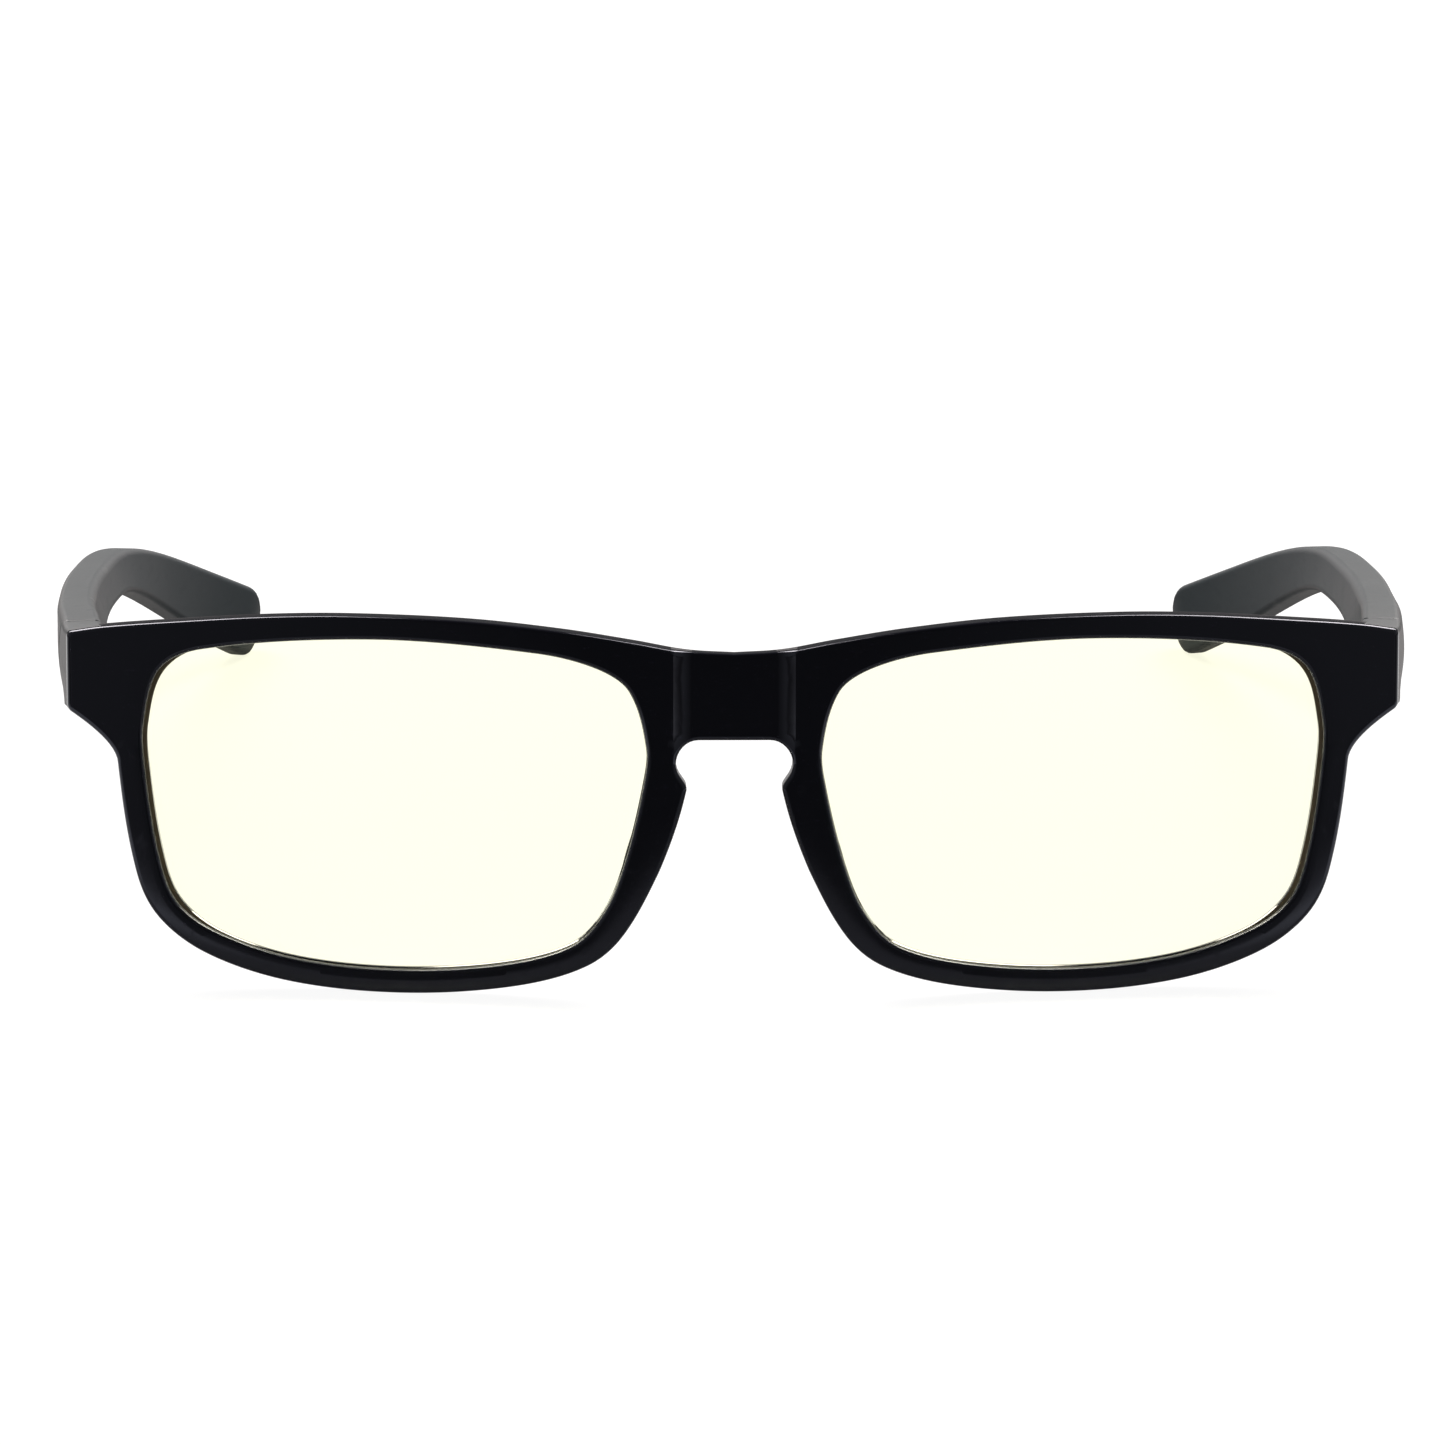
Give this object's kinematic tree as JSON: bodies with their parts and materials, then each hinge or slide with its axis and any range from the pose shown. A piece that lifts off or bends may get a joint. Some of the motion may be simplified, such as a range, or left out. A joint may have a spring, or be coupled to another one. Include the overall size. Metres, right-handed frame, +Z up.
{
  "type": "glasses",
  "caption": "Full-rim rectangular glasses with pale yellow lenses, a recessed keyhole bridge and folding soft-touch temples, standing open on a table.",
  "frame": {"origin": "on the table under the middle of the bounding box of the open glasses", "axes": "+Z up from the table, the front of the glasses faces -Y, the temples run back along +Y, X across the face; left and right in names are as seen from the front, left on -X"},
  "size_m": [0.1494, 0.1468, 0.0398],
  "materials": {
    "gloss_black_moulding": "gloss",
    "pale_yellow_lens": "clear, pale yellow",
    "soft_touch_grey": "soft-touch matte",
    "hinge_steel": "satin",
    "core_steel": "drawn strip"
  },
  "bodies": {
    "front": {"front_frame": "gloss_black_moulding", "lens_left": "pale_yellow_lens", "lens_right": "pale_yellow_lens", "nose_pad_left": "gloss_black_moulding", "nose_pad_right": "gloss_black_moulding", "hinge_front_leaf_left": "hinge_steel", "hinge_front_leaf_right": "hinge_steel", "hinge_screw_left": "hinge_steel", "hinge_screw_right": "hinge_steel"},
    "temple_arm_left": {"temple_left": "soft_touch_grey", "temple_core_left": "core_steel", "hinge_temple_leaf_left": "hinge_steel"},
    "temple_arm_right": {"temple_right": "soft_touch_grey", "temple_core_right": "core_steel", "hinge_temple_leaf_right": "hinge_steel"}
  },
  "joints": [
    {"name": "left_temple_fold", "type": "hinge", "parent": "front", "child": "temple_arm_left", "pos_m": [-0.06617, -0.0535, 0.03184], "axis": [0, -0.1284, -0.9917], "range_deg": [0, 88]},
    {"name": "right_temple_fold", "type": "hinge", "parent": "front", "child": "temple_arm_right", "pos_m": [0.06617, -0.0535, 0.03184], "axis": [0, 0.1284, 0.9917], "range_deg": [0, 79]}
  ]
}
